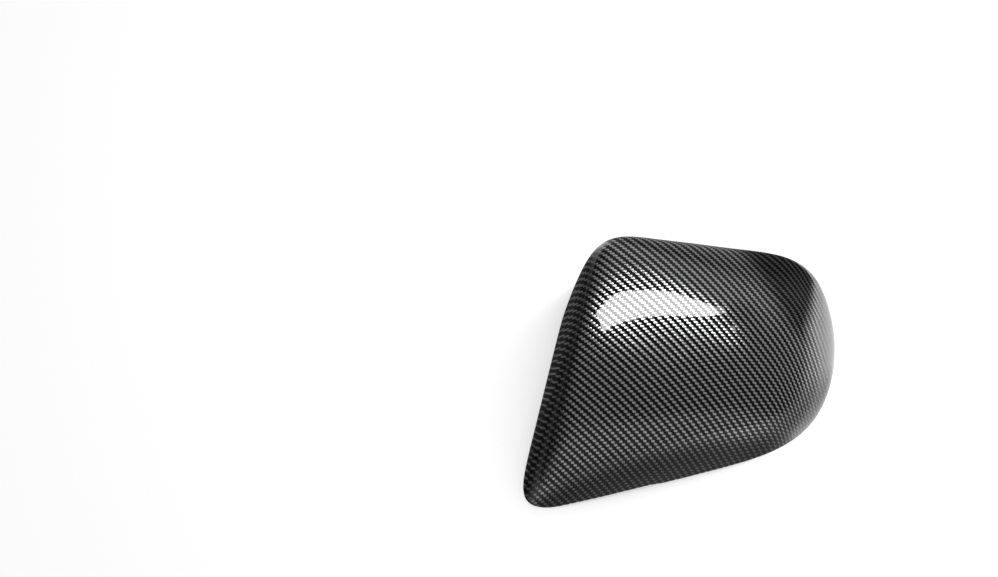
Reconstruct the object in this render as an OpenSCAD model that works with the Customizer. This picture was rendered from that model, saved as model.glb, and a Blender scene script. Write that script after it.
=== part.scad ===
// Wing mirror cover: one injection-moulded ABS shell that clips over a mirror
// housing, its outside printed with a dark twill weave under a clear coat.
// It lies on its rim: the rim plane is z = 0, +Z is the top of the dome,
// +X points to the outboard end and +Y to the upper edge. Lengths are in mm.

/* [Rim outline] */
// direction in which the inboard side faces, in degrees
inboard_angle = 167; // [163:1:171]
// reach of the inboard side from the middle of the cover
inboard_reach = 97.5; // [90:0.5:106]
// direction in which the lower side faces
lower_angle = -75; // [-79:1:-71]
// reach of the lower side
lower_reach = 73.5; // [67:0.5:80]
// direction in which the lower outboard corner faces
corner_angle = -30; // [-35:1:-25]
// reach of the lower outboard corner
corner_reach = 95; // [88:0.5:102]
// direction in which the outboard end faces
outboard_angle = 12; // [8:0.5:16]
// reach of the outboard end
outboard_reach = 114.5; // [107:0.5:122]
// direction in which the upper side faces
upper_angle = 94.5; // [91:0.5:98]
// reach of the upper side
upper_reach = 97; // [90:0.5:104]
// how tightly the five sides turn into each other
corner_sharpness = 6.4; // [5:0.2:9]

/* [Main face] */
// height of the face over the middle of the rim
face_height = 66; // [58:1:74]
// how much the face falls from the middle to the outboard end, as a share of its height
fall_outboard = 0.45; // [0.38:0.01:0.48]
// how much the face falls from the upper side to the middle, as the next ones also a share
fall_lower = 0.21; // [0.15:0.01:0.25]
// crown of the face along its length
crown_long = 0.33; // [0.25:0.01:0.35]
// crown of the face across its length
crown_cross = 0.22; // [0.16:0.01:0.24]
// twist of the face between its two ends
face_twist = 0.31; // [0.25:0.01:0.33]

/* [Shoulder] */
// fullness of the roll from the face down to the rim
shoulder = 6; // [5.6:0.1:7]
// how much softer the roll is at the outboard end
shoulder_outboard = 3.2; // [2.6:0.1:3.4]
// how much softer the roll is at the upper side
shoulder_upper = 1.9; // [1.4:0.1:2.2]
// how much tighter the roll is at the inboard side
shoulder_inboard = 26; // [16:1:30]
// how far the inboard wall leans in from rim to crest, as a share of its reach
inboard_lean = 0.14; // [0.08:0.01:0.17]

/* [Shell] */
// wall thickness of the moulding
wall = 2.5; // [2:0.1:3]
// thickness of the lip that runs round the rim
lip = 1.5; // [1.2:0.1:1.8]
// height of the lip
lip_height = 2.4; // [1.6:0.1:3]
// height by which the rim is relieved beside the mirror foot
relief = 2; // [1:0.1:2.4]
// direction in which the relieved length begins
relief_from = 230; // [227:1:236]
// direction in which the relieved length ends
relief_to = 255; // [248:1:260]

/* [Clips] */
// number of snap clips round the inside of the rim
clip_count = 8; // [6:1:9]
// width of a clip
clip_width = 13; // [10:0.5:16]
// height of a clip above the rim plane
clip_height = 22; // [16:1:24]
// least height of a clip, where the roof comes down low
clip_low = 13; // [10:0.5:15]
// thickness of the clip's blade
blade = 2; // [1.6:0.1:2.4]
// gap cored out between a blade and the wall, so that the wall keeps an even thickness
core_gap = 4; // [3:0.5:5]
// thickness of the two gussets that carry a blade
gusset = 1.6; // [1.2:0.1:2]
// how far the barb stands out from the blade, into the cover
barb = 1.5; // [1:0.1:2]

/* [Hidden] */
sides = [[inboard_angle, inboard_reach], [lower_angle, lower_reach],
         [corner_angle, corner_reach], [outboard_angle, outboard_reach],
         [upper_angle, upper_reach]];
sectors = 96;            // columns of facets round the shell
roll_rings = 16;         // rings on the wall and shoulder
top_rings = 8;           // rings on the face
inner_roll = 11;         // the same two, on the inside
inner_top = 7;
roll_end = 84;           // angle up the shoulder at which the face rings take over
crest_crowding = 0.5;    // rings stand closer near that angle
tight_spread = 6;        // how closely the tight roll keeps to the inboard side
lean_spread = 2;         // the same for the lean of the wall
tip_angle = 222;         // direction of the lower inboard corner
tip_crowding = 0.42;     // columns stand closer at that corner
clip_foot = 1.2;         // clearance of a blade above the rim plane
clip_turn = 0.35;        // place of the first clip, as a share of the step between two
gusset_gap = 0.6;        // height of a gusset's foot above the lip
barb_lead = 2;           // height of the slope at each side of a barb
barb_flat = 0.8;         // height of the flat between them
gusset_steps = 5;        // points up the edge of a gusset
roof_gap = 1.2;          // clearance of a blade below the inside of the roof
root = 1.1;              // depth to which a gusset runs into the wall
ramp = 5;                // turn over which the relief runs out at each end
probe = 0.05;            // step for the slope of the surface
search_depth = 60;       // how far in the outside of the wall is looked for
halvings = 18;           // steps of such a search

// sum of a list
function sum(v, i = 0) = i < len(v) ? v[i] + sum(v, i + 1) : 0;
function unit(v) = v / norm(v);
// smooth step from 0 to 1 between a and b
function ease(a, b, x) = let (t = min(1, max(0, (x - a) / (b - a)))) t * t * (3 - 2 * t);

// distance from the middle to the rim in direction a: five flats, softly joined
function rim(a) = pow(sum([for (s = sides)
    pow(max(0, cos(a - s[0])) / s[1], corner_sharpness)]), -1 / corner_sharpness);
// height of the main face
function face(x, y) = let (u = x / outboard_reach, v = y / upper_reach)
    face_height * (1 - fall_outboard * u + fall_lower * v
                   - crown_long * u * u - crown_cross * v * v - face_twist * u * v);
// how squarely direction a looks to the inboard side, from 0 to 1
function inboard(a) = max(0, cos(a - inboard_angle));
// fullness of the shoulder in direction a
function full(a) = shoulder - shoulder_outboard * cos(a) - shoulder_upper * sin(a)
    + shoulder_inboard * pow(inboard(a), tight_spread);
// reach in direction a at the share w of the face height, before the shoulder rounds it
function reach(a, w) = rim(a) * (1 - inboard_lean * pow(inboard(a), lean_spread) * w);
// zero on the outer surface, positive outside it
function field(x, y, z) = let (a = atan2(y, x), w = z / face(x, y))
    w * w + pow(norm([x, y]) / reach(a, w), full(a)) - 1;
function outward(p) = unit([
    field(p.x + probe, p.y, p.z) - field(p.x - probe, p.y, p.z),
    field(p.x, p.y + probe, p.z) - field(p.x, p.y - probe, p.z),
    field(p.x, p.y, p.z + probe) - field(p.x, p.y, p.z - probe)]);
// share of the face height to which the outside rises over plan point [x, y]
function level_at(x, y, lo = 0, hi = 1, i = 0) = let (w = (lo + hi) / 2)
    i > halvings ? w
    : field(x, y, w * face(x, y)) > 0 ? level_at(x, y, lo, w, i + 1)
    : level_at(x, y, w, hi, i + 1);
// point of the outer surface over plan point [x, y]
function over(x, y) = [x, y, face(x, y) * level_at(x, y)];
// radius, and point, of the outer surface in direction a at the share w of the face height
function radius(a, w) = pow(1 - w * w, 1 / full(a)) * reach(a, w);
function at_level(a, w) = let (x = radius(a, w) * cos(a), y = radius(a, w) * sin(a))
    [x, y, face(x, y) * w];
// height of the rim in direction a
function rim_z(a) = relief * ease(relief_to, relief_to - ramp, a)
    * ease(relief_from - ramp, relief_from, a);
function rim_share(a) = rim_z(a) / face(rim(a) * cos(a), rim(a) * sin(a));
// direction of column i, crowded towards the lower inboard corner
function column(i) = let (u = 360 * i / sectors)
    (u - tip_crowding * 180 / PI * sin(u - tip_angle) + 720) % 360;
// share of the face height q degrees up the shoulder in direction a
function share(a, q) = let (b = rim_share(a)) b + (1 - b) * sin(q);
// point p of the outside set in by t, square to the surface or level
function inset(p, t, level) = let (n = outward(p))
    t == 0 ? p : p - t * (level ? unit([n.x, n.y, 0]) : n);
// ring q degrees up the shoulder, then the ring at the share k of the way out to the last of them
function roll_ring(q, t, level = false) = [for (i = [0:sectors - 1]) let (a = column(i))
    inset(at_level(a, share(a, q)), t, level)];
function face_ring(k, t) = [for (i = [0:sectors - 1])
    let (a = column(i), r = k * radius(a, share(a, roll_end)))
    inset(over(r * cos(a), r * sin(a)), t, false)];
// angles from b to the end of the shoulder, n steps, closer together near the end
function climb(b, n) = [for (j = [0:n]) let (t = j / n)
    b + (roll_end - b) * t * (1 + crest_crowding * (1 - t))];

lip_end = asin(lip_height / face_height);
descent = climb(lip_end, inner_roll);
outer_rings = concat(
    [for (q = climb(0, roll_rings)) roll_ring(q, 0)],
    [for (j = [1:top_rings - 1]) face_ring(1 - j / top_rings, 0)]);
inner_rings = concat(
    [for (j = [1:inner_top - 1]) face_ring(j / inner_top, wall)],
    [for (j = [inner_roll:-1:1]) roll_ring(descent[j], wall)],
    [roll_ring(lip_end, wall, true), roll_ring(lip_end, lip, true), roll_ring(0, lip, true)]);
rings = concat(outer_rings, inner_rings);
turn = len(outer_rings);                 // first ring of the inside
ring_count = len(rings);
points = concat([for (r = rings) each r], [over(0, 0), inset(over(0, 0), wall, false)]);
summit = ring_count * sectors;           // the last two points, over the middle

function at(j, i) = (j % ring_count) * sectors + i % sectors;
skin = concat(
    [for (j = [0:ring_count - 1]) if (j != turn - 1) for (i = [0:sectors - 1])
        [at(j, i), at(j + 1, i), at(j + 1, i + 1), at(j, i + 1)]],
    [for (i = [0:sectors - 1]) [at(turn - 1, i), summit, at(turn - 1, i + 1)]],
    [for (i = [0:sectors - 1]) [at(turn, i), at(turn, i + 1), summit + 1]]);

// middle of the rim's box in plan, which becomes the origin
middle = [for (k = [0, 1]) let (v = [for (p = rings[0]) p[k]]) (min(v) + max(v)) / 2];

// bare shell with its lip
module shell() {
    polyhedron(points = points, faces = skin, convexity = 6);
}

// plan position of the rim in direction a, and the way the wall faces there
function rim_at(a) = [rim(a) * cos(a), rim(a) * sin(a)];
function faces(a) = let (n = outward([rim_at(a).x, rim_at(a).y, 0])) [n.x, n.y] / norm([n.x, n.y]);

// distance of a gusset's middle from the clip's, and height of a barb's upper end over the blade's foot
gusset_place = clip_width / 2 - gusset;
barb_top = 2 * barb_lead + barb_flat;

// distance in from plan point p against n at which the outside reaches height z
function depth_at(p, n, z, lo = 0, hi = search_depth, i = 0) = let (mid = (lo + hi) / 2, q = p - mid * n)
    i > halvings ? mid
    : field(q.x, q.y, z) > 0 ? depth_at(p, n, z, mid, hi, i + 1)
    : depth_at(p, n, z, lo, mid, i + 1);
// height at plan point p that keeps roof_gap to the inside of the roof
function roof(p) = let (q = over(p.x, p.y)) q.z - (wall + roof_gap) / outward(q).z;
// depth behind the rim at which a clip's blade stands: further in where the roof is low
function clip_depth(p, n) = max(wall + core_gap, depth_at(p, n, clip_low) + wall + roof_gap + blade / 2);
// height of a clip whose blade stands at depth d behind rim point p
function clip_top(p, n, d) = let (s = [-n.y, n.x] * clip_width / 2, q = p - d * n)
    min(clip_height, roof(q - s), roof(q), roof(q + s));

// gusset against the wall beside plan point p, which faces n, in to depth d, from height low to top
module gusset_plate(p, n, d, low, top) {
    edge = [for (j = [0:gusset_steps])
        let (z = low + (top - low) * j / gusset_steps) [-depth_at(p, n, z), z]];
    in_wall = [for (j = [0:gusset_steps])
        let (b = edge[max(0, j - 1)], c = edge[min(gusset_steps, j + 1)], t = unit(c - b))
        edge[j] - (wall - root) * [t.y, -t.x]];
    translate([p.x, p.y, 0])
        rotate([90, 0, atan2(n.y, n.x)])
            linear_extrude(height = gusset, center = true)
                polygon(concat([[-d - blade / 2, in_wall[0].y]], in_wall,
                               [[-d - blade / 2, in_wall[gusset_steps].y]]));
}

// snap clip behind the rim in direction a: a barbed blade on two gussets
module clip(a) {
    n = faces(a);
    p = rim_at(a);
    d = clip_depth(p, n);
    h = clip_top(p, n, d);
    for (s = [-1, 1])
        gusset_plate(p + s * gusset_place * [-n.y, n.x], n, d,
                     rim_z(a) + lip_height + gusset_gap, h - blade);
    translate([p.x, p.y, 0])
        rotate([0, 0, atan2(n.y, n.x)]) {
            translate([-d - blade, -clip_width / 2, clip_foot])
                cube([blade, clip_width, h - clip_foot]);
            translate([-d - blade, 0, clip_foot])
                rotate([90, 0, 0])
                    linear_extrude(height = 2 * gusset_place - gusset, center = true)
                        polygon([[blade / 2, 0], [0, 0], [-barb, barb_lead],
                                 [-barb, barb_lead + barb_flat], [0, barb_top], [blade / 2, barb_top]]);
        }
}

module mirror_cover() {
    color([0.06, 0.06, 0.065])
        translate([-middle.x, -middle.y, 0])
            union() {
                shell();
                for (i = [0:clip_count - 1]) clip(360 * (i + clip_turn) / clip_count);
            }
}

mirror_cover();
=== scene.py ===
# %% [markdown]
# # A wing mirror cover in a lacquered twill print
#
# The object is one moulded piece of black plastic: a domed cover that snaps over the back of a
# car's wing mirror. Its outside carries a printed film with the pattern of a 2/2 twill cloth, and
# over that a thick clear lacquer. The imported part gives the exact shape. This lesson turns it into
# a smooth, glossy object: first a fine mesh, then the two finishes, then a small studio.

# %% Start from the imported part
import math

import bmesh
import bpy
import numpy as np
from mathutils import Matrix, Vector


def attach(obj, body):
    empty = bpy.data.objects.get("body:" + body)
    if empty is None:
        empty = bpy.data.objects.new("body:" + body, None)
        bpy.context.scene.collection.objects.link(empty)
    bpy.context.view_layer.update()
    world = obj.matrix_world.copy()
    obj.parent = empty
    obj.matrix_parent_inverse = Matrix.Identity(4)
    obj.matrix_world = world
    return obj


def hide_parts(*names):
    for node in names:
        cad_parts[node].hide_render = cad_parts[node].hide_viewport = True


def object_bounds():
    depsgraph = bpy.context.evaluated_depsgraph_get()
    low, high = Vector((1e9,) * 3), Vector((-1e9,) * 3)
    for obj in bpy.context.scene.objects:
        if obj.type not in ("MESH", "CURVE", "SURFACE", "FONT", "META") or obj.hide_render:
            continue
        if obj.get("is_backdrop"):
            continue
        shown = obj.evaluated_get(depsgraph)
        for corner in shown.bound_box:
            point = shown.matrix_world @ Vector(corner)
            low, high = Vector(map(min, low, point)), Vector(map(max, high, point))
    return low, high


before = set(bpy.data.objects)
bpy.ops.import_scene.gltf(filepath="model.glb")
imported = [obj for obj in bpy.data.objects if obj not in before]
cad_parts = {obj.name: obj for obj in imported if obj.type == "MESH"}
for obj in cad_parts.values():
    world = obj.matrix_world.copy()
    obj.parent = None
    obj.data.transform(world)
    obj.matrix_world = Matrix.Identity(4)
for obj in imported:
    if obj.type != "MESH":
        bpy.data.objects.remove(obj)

packed_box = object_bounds()
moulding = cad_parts["mirror_cover"]
scene = bpy.context.scene
print("packed part:", len(moulding.data.polygons), "triangles")

# %% [markdown]
# ## The shape: a merged copy of the moulding
#
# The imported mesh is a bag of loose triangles. That is enough for a simulation, but a gloss finish
# shows every edge between two flat triangles as a kink in its reflections. The cover could be
# drawn afresh from curves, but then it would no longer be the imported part. So we take a copy,
# merge the corners that touch, and let a subdivision surface round it off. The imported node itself
# stays as it is.

# %% Merge a copy
MERGE_WITHIN = 4e-6

cover_bm = bmesh.new()
cover_bm.from_mesh(moulding.data)
bmesh.ops.remove_doubles(cover_bm, verts=cover_bm.verts, dist=MERGE_WITHIN)
open_edges = [e for e in cover_bm.edges if not e.is_manifold]
print("merged:", len(cover_bm.verts), "corners,", len(open_edges), "open edges")

# %% [markdown]
# ## Telling the outside from the inside
#
# Only the outside is printed. It ends at the rim, where the surface turns a sharp corner, so it
# can be found the way one would with a brush: start on top of the dome and spread from face to
# face, but never over a sharp edge.

# %% Spread over the outside
CORNER = math.radians(42)
PRINTED, BARE = 0, 1


def turns(edge):
    return edge.calc_face_angle(math.pi) > CORNER


def spread(start):
    """All faces that can be reached from one face without crossing a sharp edge."""
    reached, frontier = {start}, [start]
    while frontier:
        for edge in frontier.pop().edges:
            if not turns(edge):
                fresh = [f for f in edge.link_faces if f not in reached]
                reached.update(fresh)
                frontier.extend(fresh)
    return reached


highest = max(cover_bm.faces, key=lambda f: f.calc_center_median().z)
outside = spread(highest)
for face in cover_bm.faces:
    face.material_index = PRINTED if face in outside else BARE
print("outside:", len(outside), "of", len(cover_bm.faces), "triangles")

# %% [markdown]
# ## Quads in place of triangles
#
# A subdivision surface is smoothest on quads. The moulding was laid out in rings, so most pairs of
# triangles are halves of a quad, and Blender can join them again. The rings meet in one point at
# the middle of the dome, though, where very many thin triangles come together. Such a pole
# shows as a pinch in the reflections, so it's cut out, and the round hole is filled with a grid.

# %% Cut the pole out
def cut_out(bm, pole):
    """Removes a pole and gives the loop of edges that was round it, in order."""
    ring = [e for f in pole.link_faces for e in f.edges if pole not in e.verts]
    bmesh.ops.delete(bm, geom=[pole], context="VERTS")
    loop, here = [ring[0]], ring[0].verts[1]
    while len(loop) < len(ring):
        loop.append(next(e for e in ring if here in e.verts and e is not loop[-1]))
        here = loop[-1].other_vert(here)
    return loop


pole = max({v for f in outside for v in f.verts}, key=lambda v: len(v.link_edges))
hole = cut_out(cover_bm, pole)
print("the hole has", len(hole), "edges")

# %% Fill the hole with a grid
def bowl_terms(x, y):
    """What the height of a shallow bowl is a sum of: a level, two slopes and three bends."""
    return np.array([1 + 0 * x, x, y, x * x, x * y, y * y])


def fill_with_grid(bm, loop):
    """Closes the loop with a grid, laid on the shallow bowl that the loop lies on."""
    side = len(loop) // 4
    opposite_sides = loop[:side] + loop[2 * side : 3 * side]
    rim = {v for e in loop for v in e.verts}
    grid = bmesh.ops.grid_fill(bm, edges=opposite_sides, use_interp_simple=True)["faces"]
    x, y, z = np.array([v.co for v in rim]).T
    bowl = np.linalg.lstsq(bowl_terms(x, y).T, z, rcond=None)[0]
    for vert in {v for f in grid for v in f.verts} - rim:
        vert.co.z = bowl @ bowl_terms(vert.co.x, vert.co.y)
    return grid


patch = fill_with_grid(cover_bm, hole)
for face in patch:
    face.material_index = PRINTED
print("the hole became a grid of", len(patch), "quads")

# %% Join the other triangles into quads
FLAT_WITHIN, SQUARE_WITHIN = math.radians(35), math.radians(60)

bmesh.ops.join_triangles(
    cover_bm,
    faces=[f for f in cover_bm.faces if len(f.verts) == 3],
    cmp_materials=True,
    angle_face_threshold=FLAT_WITHIN,
    angle_shape_threshold=SQUARE_WITHIN,
)
bmesh.ops.recalc_face_normals(cover_bm, faces=cover_bm.faces)
quads = sum(len(f.verts) == 4 for f in cover_bm.faces)
print(quads, "quads and", len(cover_bm.faces) - quads, "triangles")

# %% [markdown]
# ## Rounding it off
#
# Edges that turn sharply get a crease, which keeps the rim and the clips crisp while the rest is
# rounded. The modifier is then applied, because the print is laid on the finished surface.

# %% Crease the sharp edges
crease = cover_bm.edges.layers.float.new("crease_edge")
sharp = [e for e in cover_bm.edges if turns(e)]
for edge in sharp:
    edge[crease] = 1.0
print(len(sharp), "creased edges of", len(cover_bm.edges))

rough_mesh = bpy.data.meshes.new("mirror_cover_rough")
cover_bm.to_mesh(rough_mesh)
cover_bm.free()
if "custom_normal" in rough_mesh.attributes:
    rough_mesh.attributes.remove(rough_mesh.attributes["custom_normal"])

# %% Subdivide and apply
ROUNDING_LEVELS = 2

cover = bpy.data.objects.new("lacquered_cover", rough_mesh)
scene.collection.objects.link(cover)
rounding = cover.modifiers.new("rounding", "SUBSURF")
rounding.levels = rounding.render_levels = ROUNDING_LEVELS
view_layer = bpy.context.view_layer
view_layer.update()
rounded = cover.evaluated_get(bpy.context.evaluated_depsgraph_get())
smooth_mesh = bpy.data.meshes.new_from_object(rounded)
cover.modifiers.clear()
cover.data = smooth_mesh
smooth_mesh.name = "lacquered_cover"
smooth_mesh.shade_smooth()
smooth_mesh.set_sharp_from_angle(angle=CORNER)
print("finished mesh:", sum(len(p.vertices) - 2 for p in smooth_mesh.polygons), "triangles")

# %% Reading the finished mesh
def read(collection, name, width=3):
    """Reads one property of every vertex, corner or face into rows."""
    values = np.empty(len(collection) * width)
    collection.foreach_get(name, values)
    return values.reshape(-1, width)


def read_whole(collection, name):
    """Reads one whole number of every corner or face."""
    return read(collection, name, 1).astype(int).ravel()


points = read(smooth_mesh.vertices, "co")
facing = read(smooth_mesh.vertex_normals, "vector")
vertex_of_corner = read_whole(smooth_mesh.loops, "vertex_index")
print(len(points), "vertices and", len(vertex_of_corner), "corners of faces")

# %% [markdown]
# ## Laying the film
#
# The twill is printed on a film that floats on water. The cover is pushed up through it, so the
# film drapes over the dome and stretches where the walls fall away. A texture projected from
# above would run down the walls in lines, and an unwrapped one would have seams. So each point of
# the mesh gets its place on the film: how many tows it lies to the right and how many down. Both
# are short sums of the point's coordinates. The square terms bend the rows, and the height
# lets the film slide down the sides. Two corrections are added where the film is strained most:
# at the outboard end it's drawn together, so that the ribs stand up, and at the back it slides
# down the upper wall.

# %% Two sums that place a point on the film
FILM_MIDDLE = (0.0062, 0.0, 0.0)
ACROSS = {"x": 615, "y": 31, "z": 47, "xx": -230, "xy": -1350, "yy": -660}
DOWN = {"x": -117, "y": -559, "z": -262, "xx": -1020, "xy": -450, "yy": -880}


def on_film(points, sums):
    """Tows from the middle of the film to each point, by one of the sums."""
    x, y, z = (points - FILM_MIDDLE).T
    place = {"x": x, "y": y, "z": z, "xx": x * x, "xy": x * y, "yy": y * y}
    return sum(tows * place[term] for term, tows in sums.items())


across_tows, down_tows = on_film(points, ACROSS), on_film(points, DOWN)
print("before it's strained the film spans", np.ptp(across_tows).round(), "tows across")

# %% Draw the film together round the outboard end
END_FROM, END_TO = 0.050, 0.090
END_PULL, END_TURN = 250, -97
TURN_REACH = 0.040


def smooth_step(value, low, high):
    """0 up to low, 1 from high, and smooth between them."""
    share = np.clip((value - low) / (high - low), 0, 1)
    return share * share * (3 - 2 * share)


def smooth_run(value, low, high):
    """What a smooth step adds up to along the way, so that a pull sets in without a kink."""
    gone = np.clip((value - low) / (high - low), 0, None)
    return np.where(gone < 1, gone**3 - gone**4 / 2, gone - 0.5) * (high - low)


def pull_at_end(points):
    """Tows that the film is drawn together by. The turn stops growing past TURN_REACH."""
    x, y, _ = (points - FILM_MIDDLE).T
    turned = END_TURN * np.minimum(y, TURN_REACH) * smooth_step(x, END_FROM, END_TO)
    return END_PULL * smooth_run(x, END_FROM, END_TO) + turned


pull = pull_at_end(points)
print("the end is drawn together by", pull.max().round(1), "tows")

# %% Let the film slide down the upper wall
BACK_PULL = 700
LEAN_FROM, LEAN_TO = 0.60, 0.97
SHOULDER_HEIGHT, SHOULDER_FALL = 0.060, 0.56
LOWEST_SHOULDER, HIGHEST_SHOULDER = 0.015, 0.075


def slide_down_back(points, facing):
    """Tows that the film slides by where the upper wall falls away from the shoulder."""
    shoulder = SHOULDER_HEIGHT - SHOULDER_FALL * points[:, 0]
    shoulder = np.clip(shoulder, LOWEST_SHOULDER, HIGHEST_SHOULDER)
    return BACK_PULL * smooth_step(facing[:, 1], LEAN_FROM, LEAN_TO) * (points[:, 2] - shoulder)


slide = slide_down_back(points, facing)
print("the film slides down the upper wall by", -slide.min().round(1), "tows")

# %% Lay the film
tows = np.stack([across_tows + pull, down_tows - pull + slide], axis=1)
film = smooth_mesh.uv_layers.new(name="film")
film.uv.foreach_set("vector", tows[vertex_of_corner].astype(np.float32).ravel())
print("the film spans", np.ptp(tows, axis=0).round(), "tows")

# %% [markdown]
# ## Painted shade and a painted reflection
#
# The face keeps a full coat. The walls that turn away from it and the two outboard corners are
# painted darker, as shade: the print's silver is dimmed there and the coat is thinner and duller,
# so that they reflect less. Towards the rim of the outboard end the twill gives way to a pale grey
# that brightens to the rim, a painted reflection of the bright floor beyond that end. A painter
# would mask these places by hand. Here each vertex of the mesh keeps four numbers, worked out from
# where it lies and the way it faces, and the material reads them by name.

# %% How far each point has rolled over at the outboard end
ROLL_HEIGHT = 0.027
ROLL_FALL, FALL_FROM, FALL_WIDTH = 0.42, 0.027, 0.050
ROLL_FROM, ROLL_TO = 0.050, 0.080

x, y, z = points.T
roll_start = ROLL_HEIGHT - ROLL_FALL * np.clip(y - FALL_FROM, 0, FALL_WIDTH)
rolled = np.clip(1 - z / roll_start, 0, 1) * smooth_step(x, ROLL_FROM, ROLL_TO)
print((rolled > 0).sum(), "vertices lie on the roll")

# %% The walls and corners, from 0 outside them to 1 where they are full
# After what is measured, each step names where the place begins and where it's full.
outboard_lean, upper_lean, _ = facing.T
places = {
    "inboard wall": smooth_step(-outboard_lean, 0.20, 0.68),
    "steep inboard wall": smooth_step(-outboard_lean, 0.50, 0.90),
    "upper wall": smooth_step(0.5 * outboard_lean + upper_lean, 0.30, 0.60) * (1 - np.sqrt(rolled)),
    "lower wall": smooth_step(-upper_lean, 0.74, 0.97),
    "upper corner": (
        smooth_step(x + 0.45 * y, 0.070, 0.096)
        * smooth_step(y, 0.005, 0.028)
        * (1 - smooth_step(rolled, 0.05, 0.35))
    ),
    "lower corner": smooth_step(x - y, 0.095, 0.118),
}
for place, share in places.items():
    print(place, "holds", (share > 0.5).sum(), "vertices")

# %% How much each place is darkened, as painted shade
SILVER_DIMMED_AS_SHADE = {
    "inboard wall": 0.82,
    "upper wall": 0.55,
    "lower wall": 0.80,
    "upper corner": 0.75,
    "lower corner": 0.50,
}
COAT_TAKEN_AS_SHADE = {
    "steep inboard wall": 0.97,
    "upper wall": 0.88,
    "lower wall": 0.72,
    "upper corner": 0.80,
    "lower corner": 0.35,
}


def left_after(losses):
    """The share that is left at each vertex, after every place has taken its own."""
    return math.prod(1 - loss * places[place] for place, loss in losses.items())


# Painted shade: on the walls and corners the silver is dimmed and the coat taken away, so that they
# come out darker.
silver_left_after_shade, lacquer = left_after(SILVER_DIMMED_AS_SHADE), left_after(COAT_TAKEN_AS_SHADE)
print("on average", silver_left_after_shade.mean().round(2), "of the silver is left")
print("on average", lacquer.mean().round(2), "of the lacquer is left")

# %% Where a painted reflection, pale grey, covers the twill
FADE_FROM, FADE_TO = 0.30, 0.85
REFLECTION_FROM, REFLECTION_TO = 0.40, 0.95
REFLECTION_AT_FIRST, REFLECTION_RISE = 0.28, 0.62
CORNER_SPARED = 0.75

spared = 1 - CORNER_SPARED * places["lower corner"]
# The pale grey is a painted reflection of the bright floor beyond the outboard end, brighter towards
# the rim.
painted_reflection_share = smooth_step(rolled, FADE_FROM, FADE_TO) * spared
reflection_level = REFLECTION_AT_FIRST + REFLECTION_RISE * smooth_step(rolled, REFLECTION_FROM, REFLECTION_TO)
painted_end_reflection = painted_reflection_share * reflection_level
print((painted_reflection_share > 0.5).sum(), "vertices are more grey than twill")

# %% Keep the four numbers
kept = {
    "silver_after_painted_shade": silver_left_after_shade,
    "lacquer": lacquer,
    "painted_reflection_share": painted_reflection_share,
    "painted_end_reflection": painted_end_reflection,
}
for name, values in kept.items():
    layer = smooth_mesh.attributes.new(name, "FLOAT", "POINT")
    layer.data.foreach_set("value", values.astype(np.float32))
    print(name, "from", values.min().round(2), "to", values.max().round(2))

# %% [markdown]
# ## A softer roll at the outboard end
#
# The outboard end rolls over to its rim so softly that it mirrors the floor all the way down. The
# mesh could be pushed out there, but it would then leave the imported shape. Shading follows the
# normals, though, and not the faces: when the normals at the corners lean outwards, the end shades
# like a rounder one while its outline stays.

# %% Roll the outboard end over
ROLL = 2.3
SHORTEST = 1e-6

printed = read_whole(smooth_mesh.polygons, "material_index") == PRINTED
corners_each = read_whole(smooth_mesh.polygons, "loop_total")
lean = ROLL * rolled[vertex_of_corner] ** 2 * np.repeat(printed, corners_each)

normals = read(smooth_mesh.corner_normals, "vector")
outwards = normals * (1, 1, 0)
outwards /= np.maximum(np.linalg.norm(outwards, axis=1, keepdims=True), SHORTEST)
sideways = outwards - normals * (outwards * normals).sum(axis=1, keepdims=True)
normals += lean[:, None] * sideways
normals /= np.linalg.norm(normals, axis=1, keepdims=True)
smooth_mesh.normals_split_custom_set(normals)
print("corners rolled over:", (lean > 0).sum())

# %% [markdown]
# ## Writing shaders as sums
#
# A pattern is arithmetic: which tow are we on, which one lies on top here, how far from its edge.
# Drawn as boxes and wires it's hard to read. So a small class wraps one output of a node, and
# ordinary Python arithmetic on it adds the Math nodes.

# %% A wire that can be added and multiplied
class Wire:
    """One output socket in a material. Arithmetic on it adds Math nodes."""

    def __init__(self, tree, socket=None):
        self.tree, self.socket = tree, socket

    def node(self, kind, sockets=None, settings=None, output=0):
        """Adds any node: its settings first, then the values or wires of its sockets."""
        made = self.tree.nodes.new(kind)
        for name, value in (settings or {}).items():
            setattr(made, name, value)
        for name, value in (sockets or {}).items():
            if isinstance(value, Wire):
                self.tree.links.new(value.socket, made.inputs[name])
            else:
                made.inputs[name].default_value = value
        return Wire(self.tree, made.outputs[output]) if made.outputs else None

    def sibling(self, output):
        """Another output of the same node."""
        return Wire(self.tree, self.socket.node.outputs[output])

    def maths(self, operation, *values):
        return self.node("ShaderNodeMath", dict(enumerate(values)), {"operation": operation})

    def __add__(self, other):
        return self.maths("ADD", self, other)

    def __sub__(self, other):
        return self.maths("SUBTRACT", self, other)

    def __rsub__(self, other):
        return self.maths("SUBTRACT", other, self)

    def __mul__(self, other):
        return self.maths("MULTIPLY", self, other)

    def __mod__(self, other):
        return self.maths("FLOORED_MODULO", self, other)

    def __abs__(self):
        return self.maths("ABSOLUTE", self)

    __radd__, __rmul__ = __add__, __mul__

    def floor(self):
        return self.maths("FLOOR", self)

    def clamped(self):
        return self.node("ShaderNodeClamp", {"Value": self})

    def ramp(self, nothing, full):
        """0 at the first value, 1 at the second, and smooth between them."""
        sockets = {"Value": self, "From Min": nothing, "From Max": full}
        return self.node("ShaderNodeMapRange", sockets, {"interpolation_type": "SMOOTHSTEP"})

    def blend(self, dark, light):
        """A colour between two others, by this value."""
        colours = {"Factor": self, "A": (*dark, 1), "B": (*light, 1)}
        return self.node("ShaderNodeMix", colours, {"data_type": "RGBA"}, output=2)


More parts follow.
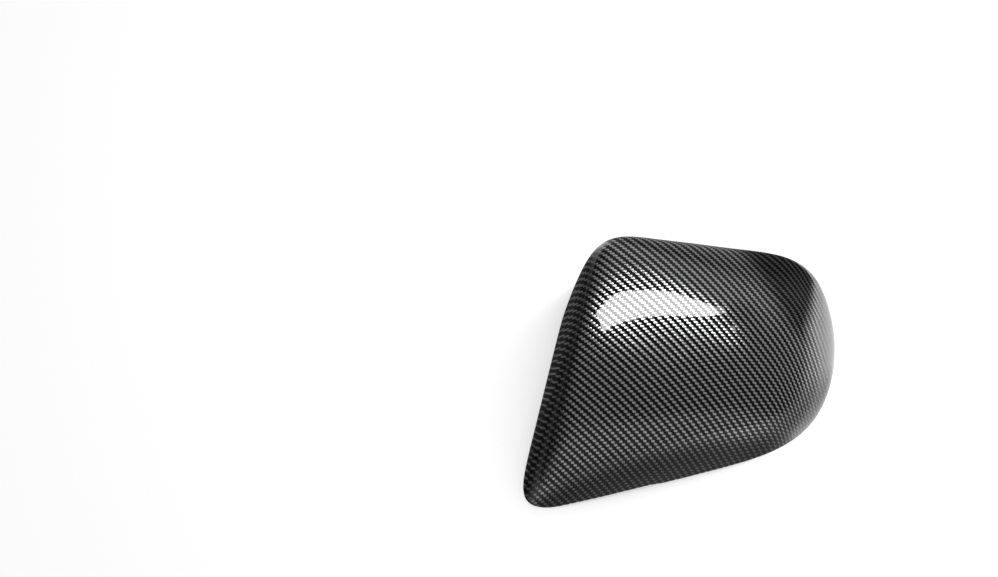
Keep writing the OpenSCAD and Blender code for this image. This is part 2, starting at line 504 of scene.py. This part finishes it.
# %% Beginning and ending a material
def new_material(name):
    material = bpy.data.materials.new(name)
    material.use_nodes = True
    material.node_tree.nodes.clear()
    return material, Wire(material.node_tree)


def finish_with(start, surface):
    start.node("ShaderNodeOutputMaterial", {"Surface": surface})

# %% [markdown]
# ## The printed twill under its lacquer
#
# In a 2/2 twill every tow passes over two others and under two, and each row starts one tow
# further on. That gives the diagonal ribs. Seen from any one side, the tows that run one way
# catch the light and the others stay nearly black, so only one set of floats is drawn, silvery on
# a black ground and dimmer towards its edges and ends. A slight crown lets each float catch the
# light over a wider band than the flat lacquer does. The lacquer is the shader's coat, smooth as
# glass, and the print beneath it is duller.

# %% The floats of the weave
REPEAT = 4
FLOAT_END, FLOAT_BRIGHT = 1.0, 0.62
TOW_EDGE, TOW_BRIGHT = 0.50, 0.20

material, start = new_material("lacquered_twill_print")
place = start.node("ShaderNodeUVMap", settings={"uv_map": "film"})
across = start.node("ShaderNodeSeparateXYZ", {"Vector": place}, output="X")
down = across.sibling("Y")
# 0 in the middle of a float and 1 at its ends
along_float = abs((across - down.floor()) % REPEAT - 1)
# 0 in the middle of a tow and 0.5 at its edges
over_tow = abs(down % 1 - 0.5)
on_top = along_float.ramp(FLOAT_END, FLOAT_BRIGHT) * over_tow.ramp(TOW_EDGE, TOW_BRIGHT)
print("the weave takes", len(material.node_tree.nodes), "nodes")

# %% Fibres along each tow
FIBRES_ALONG, FIBRES_ACROSS = 0.8, 9

lengthwise = start.node("ShaderNodeCombineXYZ", {"X": across * FIBRES_ALONG, "Y": down * FIBRES_ACROSS})
fibres = start.node("ShaderNodeTexNoise", {"Vector": lengthwise, "Scale": 1.0, "Detail": 2.0})
print("fibres:", round(FIBRES_ACROSS / FIBRES_ALONG), "times as long as they are wide")

# %% How much silver shows
FIBRE_LEAST, FIBRE_RANGE = 0.85, 0.3


def kept_value(name):
    """One of the numbers that the vertices keep."""
    return start.node("ShaderNodeAttribute", settings={"attribute_name": name}, output="Fac")


# On the walls and corners the silver is dimmed as painted shade; near the outboard rim a painted
# reflection, pale grey, takes the twill's place.
pattern = on_top * (1 - kept_value("painted_reflection_share")) + kept_value("painted_end_reflection")
streaks = FIBRE_LEAST + fibres * FIBRE_RANGE
gleam = (pattern * streaks * kept_value("silver_after_painted_shade")).clamped()
print("with the silver it's", len(material.node_tree.nodes), "nodes")

# %% The crown of each float, in metres
CROWN_OVER_TOW, CROWN_ALONG_FLOAT = 0.00003, 0.00007

rise_over = 1 - over_tow * over_tow * 4
rise_along = (1 - along_float * along_float).clamped()
crown = CROWN_OVER_TOW * rise_over + CROWN_ALONG_FLOAT * rise_along
crowned = start.node("ShaderNodeBump", {"Strength": 1.0, "Distance": 1.0, "Height": crown})
print("a float stands up to", round((CROWN_OVER_TOW + CROWN_ALONG_FLOAT) * 1000, 2), "mm high")

# %% The print under its coat
BLACK_GROUND, SILVER = (0.0035, 0.0035, 0.0037), (0.48, 0.48, 0.48)
SILVER_METALLIC = 0.62

lacquered = start.node(
    "ShaderNodeBsdfPrincipled",
    {
        "Base Color": gleam.blend(BLACK_GROUND, SILVER),
        "Metallic": gleam * SILVER_METALLIC,
        "Roughness": 0.14 + fibres * 0.01,
        "Specular IOR Level": 0.0,
        # The coat is thinner on the walls and corners as painted shade, so that they reflect less
        # there.
        "Coat Weight": kept_value("lacquer"),
        "Coat Roughness": 0.02,
        "Coat IOR": 1.4,
        "Normal": crowned,
    },
)
finish_with(start, lacquered)
smooth_mesh.materials.append(material)
print(material.name, "has", len(material.node_tree.nodes), "nodes")

# %% [markdown]
# ## The bare inside
#
# Behind the rim nothing is painted. The moulding is black plastic with the fine, even grain that a
# spark-eroded tool leaves, and a soft sheen.

# %% Bare black moulding
GRAINS_PER_METRE, CLOUDS_PER_METRE = 1400.0, 22.0
DEEP_BLACK, SOFT_BLACK = (0.010, 0.010, 0.011), (0.026, 0.026, 0.027)

material, start = new_material("bare_black_moulding")
spot = start.node("ShaderNodeTexCoord", output="Object")
grain = start.node("ShaderNodeTexNoise", {"Vector": spot, "Scale": GRAINS_PER_METRE, "Detail": 3.0})
flow = start.node("ShaderNodeTexNoise", {"Vector": spot, "Scale": CLOUDS_PER_METRE, "Detail": 2.0})
relief = start.node("ShaderNodeBump", {"Strength": 0.25, "Distance": 0.0002, "Height": grain})
bare = start.node(
    "ShaderNodeBsdfPrincipled",
    {
        "Base Color": (flow * 0.6 + grain * 0.4).blend(DEEP_BLACK, SOFT_BLACK),
        "Roughness": 0.38 + flow * 0.16,
        "Normal": relief,
    },
)
finish_with(start, bare)
smooth_mesh.materials.append(material)
print(material.name, "has", len(material.node_tree.nodes), "nodes")

# %% The finished piece takes the moulding's place
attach(cover, "root")
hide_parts("mirror_cover")
print("materials:", [m.name for m in smooth_mesh.materials])

# %% [markdown]
# ## The studio
#
# A gloss black thing shows the room more than itself, so the room is part of the picture. The
# floor is white. The room round it is dim, with a paler wall behind, another in front, and a low
# glow beyond the outboard end. One long soft box hangs overhead, up and to the right, and gives
# the bright patch on the shoulder. Its far end is weaker, so it's a second lamp.

# %% Floor
FLOOR_REACH, FLOOR_SIDES = 6.0, 96

floor_bm = bmesh.new()
bmesh.ops.create_circle(floor_bm, cap_ends=True, segments=FLOOR_SIDES, radius=FLOOR_REACH)
floor_mesh = bpy.data.meshes.new("studio_floor")
floor_bm.to_mesh(floor_mesh)
floor_bm.free()
floor = bpy.data.objects.new("studio_floor", floor_mesh)
scene.collection.objects.link(floor)
floor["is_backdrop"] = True
print("floor:", FLOOR_REACH * 2, "m across")

# %% White paint that glows a little where it's seen, and is clear from below
FLOOR_WHITE, FLOOR_GLOW = (0.80, 0.80, 0.80, 1), 0.55

material, start = new_material("white_floor")
paint = start.node("ShaderNodeBsdfDiffuse", {"Color": FLOOR_WHITE})
ray = start.node("ShaderNodeLightPath", output="Is Camera Ray")
seen = (ray + ray.sibling("Is Glossy Ray") + ray.sibling("Is Transmission Ray")).clamped()
glow = start.node("ShaderNodeEmission", {"Color": (1, 1, 1, 1), "Strength": seen * FLOOR_GLOW})
white = start.node("ShaderNodeAddShader", {0: paint, 1: glow})
behind = start.node("ShaderNodeNewGeometry", output="Backfacing")
clear = start.node("ShaderNodeBsdfTransparent")
finish_with(start, start.node("ShaderNodeMixShader", {0: behind, 1: white, 2: clear}))
floor_mesh.materials.append(material)
print(material.name, "has", len(material.node_tree.nodes), "nodes")

# %% Walls and ceiling, as light from far away
STRIP_BEARING = math.radians(59)
ROOM_LEVEL, BACK_LEVEL, FRONT_LEVEL, END_LEVEL = 0.20, 0.55, 0.45, 0.8

world = bpy.data.worlds.new("studio_room")
world.use_nodes = True
world.node_tree.nodes.clear()
scene.world = world
start = Wire(world.node_tree)
way = start.node("ShaderNodeTexCoord", output="Generated")


def along(direction):
    """How much a way of looking points in a direction, from -1 to 1."""
    both = {0: way, 1: direction}
    return start.node("ShaderNodeVectorMath", both, {"operation": "DOT_PRODUCT"}, "Value")


# Each ramp goes from where a patch of light begins to where it's full.
ahead = along((math.sin(STRIP_BEARING), math.cos(STRIP_BEARING), 0))
side = along((math.cos(STRIP_BEARING), -math.sin(STRIP_BEARING), 0))
back_wall = side.ramp(-0.02, -0.12) * ahead.ramp(0.1, 0.6)
front_wall = along((0, -1, 0)).ramp(0.30, 0.62)
end_glow = along((1, 0, 0)).ramp(0.75, 0.95) * along((0, 0, 1)).ramp(0.12, 0.02)
room = ROOM_LEVEL + back_wall * BACK_LEVEL + front_wall * FRONT_LEVEL + end_glow * END_LEVEL
background = start.node("ShaderNodeBackground", {"Strength": room})
start.node("ShaderNodeOutputWorld", {"Surface": background})
print("the room has", len(world.node_tree.nodes), "nodes")

# %% Lamps
STRIP_HEIGHT, STRIP_WIDTH = 1.18, 0.112
STRIP_TURN = math.radians(33)


def soft_box(name, middle, length, watts):
    """A lamp that hangs level over the middle, turned as the strip is, and shines down."""
    lamp = bpy.data.lights.new(name, "AREA")
    lamp.shape = "RECTANGLE"
    lamp.size, lamp.size_y = length, STRIP_WIDTH
    lamp.energy = watts
    box = bpy.data.objects.new(name, lamp)
    box.location = (*middle, STRIP_HEIGHT)
    box.rotation_euler = (0, 0, STRIP_TURN)
    scene.collection.objects.link(box)


soft_box("strip_light", middle=(0.682, 0.441), length=1.57, watts=11.0)
soft_box("strip_tail", middle=(1.479, 0.959), length=0.33, watts=0.75)

# %% [markdown]
# ## The camera
#
# It looks down at sixty degrees from in front, through a long lens, so the cover is hardly
# foreshortened. The picture is wider than the cover, which stands right of its middle.

# %% Camera
LENS, SENSOR = 72.14, 36.0
TILT = math.radians(60)
DISTANCE = 1.45
AIM = Vector((-0.1282, 0.0722, 0.0))
NEAREST, FURTHEST = 0.05, 50

camera = bpy.data.objects.new("camera", bpy.data.cameras.new("camera"))
camera.data.lens, camera.data.sensor_width = LENS, SENSOR
camera.data.clip_start, camera.data.clip_end = NEAREST, FURTHEST
camera.location = AIM + DISTANCE * Vector((0, -math.cos(TILT), math.sin(TILT)))
camera.rotation_euler = (math.pi / 2 - TILT, 0, 0)
scene.collection.objects.link(camera)
scene.camera = camera
scene.view_settings.view_transform = "Standard"
print("camera at", [round(c, 3) for c in camera.location])

# %% [markdown]
# ## Measuring
#
# The dressed cover is meant to be as large as the imported part, so both boxes are printed.

# %% Measure and print the two boxes
view_layer.update()
dressed_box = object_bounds()
boxes = {"packed": [list(c) for c in packed_box], "dressed": [list(c) for c in dressed_box]}
for name, (low_corner, high_corner) in boxes.items():
    print(name, [round((high - low) * 1000, 1) for low, high in zip(low_corner, high_corner)], "mm")
